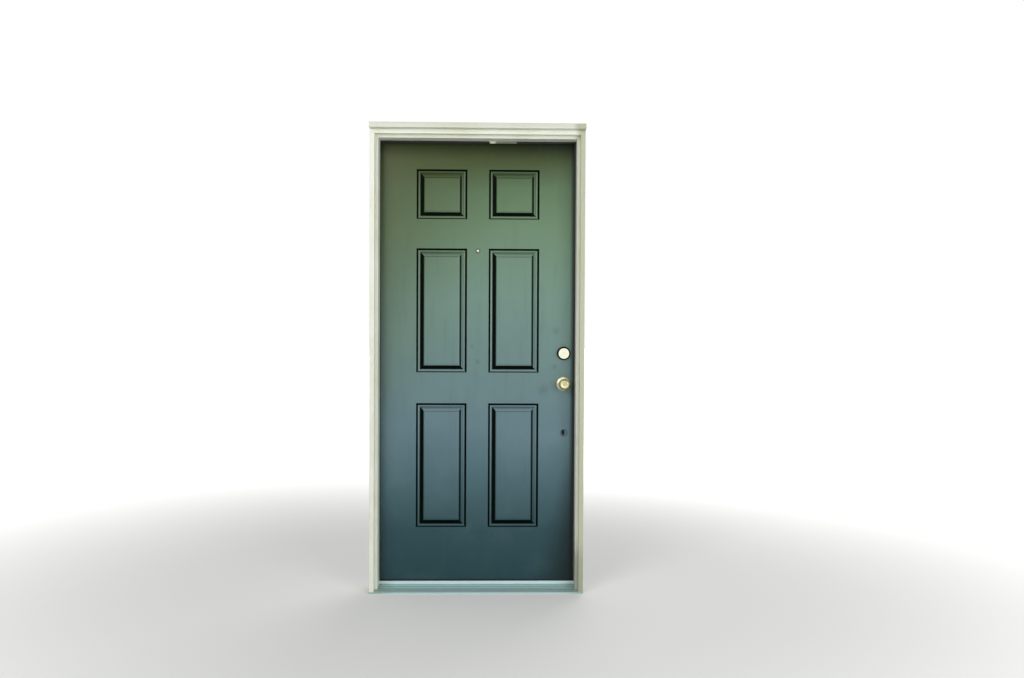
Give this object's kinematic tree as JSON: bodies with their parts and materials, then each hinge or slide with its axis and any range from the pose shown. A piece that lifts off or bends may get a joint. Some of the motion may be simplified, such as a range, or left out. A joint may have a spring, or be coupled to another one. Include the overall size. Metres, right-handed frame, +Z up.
{
  "type": "front door",
  "caption": "Painted steel-faced front door with embossed panels, hung in its painted wooden frame with a sloped metal sill, a knob lockset, a deadbolt and a door viewer.",
  "frame": {"origin": "middle of the sill's underside, in the plane of the jambs' outer edges", "axes": "+X to the right seen from outside, +Y into the house, +Z up"},
  "size_m": [0.956, 0.242, 2.095],
  "materials": {
    "door_paint": "satin",
    "frame_paint": "satin paint",
    "bare_wood": "planed",
    "mill_aluminium": "mill, weathered",
    "sill_composite": "moulded",
    "sill_vinyl": "extruded",
    "foam": "cut foam",
    "seal": "matt",
    "brass": "polished, worn",
    "zinc_steel": "zinc plated",
    "lens_glass": "polished"
  },
  "bodies": {
    "frame": {"hinge_jamb": "frame_paint", "strike_jamb": "frame_paint", "head_jamb": "frame_paint", "hinge_stop": "frame_paint", "strike_stop": "frame_paint", "head_stop": "frame_paint", "casing_left": "frame_paint", "casing_right": "frame_paint", "casing_head": "frame_paint", "drip_cap": "frame_paint", "sill_deck": "mill_aluminium", "sill_substrate": "sill_composite", "sill_cap": "sill_vinyl", "weatherstrip_hinge": "seal", "weatherstrip_strike": "seal", "weatherstrip_head": "seal", "corner_pads": "seal", "latch_strike": "brass", "deadbolt_strike": "brass", "hinge_pins": "brass", "hinge_jamb_leaf_1": "brass", "hinge_jamb_leaf_2": "brass", "hinge_jamb_leaf_3": "brass"},
    "door": {"skin_outer": "door_paint", "skin_inner": "door_paint", "hinge_stile": "bare_wood", "lock_stile": "bare_wood", "top_rail": "bare_wood", "bottom_rail": "bare_wood", "lock_block": "bare_wood", "foam_core": "foam", "door_sweep": "sill_vinyl", "hinge_door_leaf_1": "brass", "hinge_door_leaf_2": "brass", "hinge_door_leaf_3": "brass", "viewer_outer_barrel": "brass", "viewer_inner_barrel": "brass", "viewer_lens": "lens_glass", "knob_rose_outer": "brass", "knob_rose_inner": "brass", "latch_case": "zinc_steel", "lock_faceplates": "brass", "deadbolt_collar": "brass", "deadbolt_case": "zinc_steel", "thumbturn_plate": "brass", "lock_mounting_screws": "brass"},
    "knobs": {"knob_outer": "brass", "knob_inner": "brass", "knob_spindle": "zinc_steel"},
    "knob_plug": {"knob_plug": "brass"},
    "turn_button": {"turn_button": "brass"},
    "latch_bolt": {"latch_bolt": "brass"},
    "deadbolt_plug": {"deadbolt_plug": "brass"},
    "thumbturn": {"thumbturn": "brass"},
    "deadbolt_bolt": {"deadbolt_bolt": "brass"}
  },
  "joints": [
    {"name": "door_swing", "type": "hinge", "parent": "frame", "child": "door", "pos_m": [-0.4555, 0.1225, 1.04], "axis": [0, 0, 1], "range_deg": [0, 110]},
    {"name": "knob_turn", "type": "hinge", "parent": "door", "child": "knobs", "pos_m": [0.3937, 0.09225, 0.932], "axis": [0, 1, 0], "range_deg": [0, 60]},
    {"name": "latch_slide", "type": "slide", "parent": "door", "child": "latch_bolt", "axis": [1, 0, 0], "range_m": [0, 0.0127]},
    {"name": "knob_plug_turn", "type": "hinge", "parent": "knobs", "child": "knob_plug", "pos_m": [0.3937, 0.09225, 0.932], "axis": [0, 1, 0], "range_deg": [0, 90]},
    {"name": "turn_button_turn", "type": "hinge", "parent": "knobs", "child": "turn_button", "pos_m": [0.3937, 0.09225, 0.932], "axis": [0, 1, 0], "range_deg": [0, 90]},
    {"name": "deadbolt_plug_turn", "type": "hinge", "parent": "door", "child": "deadbolt_plug", "pos_m": [0.3937, 0.09225, 1.0717], "axis": [0, 1, 0], "range_deg": [0, 90]},
    {"name": "thumbturn_turn", "type": "hinge", "parent": "door", "child": "thumbturn", "pos_m": [0.3937, 0.09225, 1.0717], "axis": [0, 1, 0], "range_deg": [0, 90]},
    {"name": "deadbolt_slide", "type": "slide", "parent": "door", "child": "deadbolt_bolt", "axis": [1, 0, 0], "range_m": [0, 0.0254]}
  ],
  "couplings": [
    {"joint": "latch_slide", "follows": "knob_turn", "m_per_rad": 0.012127},
    {"joint": "turn_button_turn", "follows": "knob_plug_turn", "ratio": 1},
    {"joint": "thumbturn_turn", "follows": "deadbolt_slide", "rad_per_m": 61.842}
  ]
}
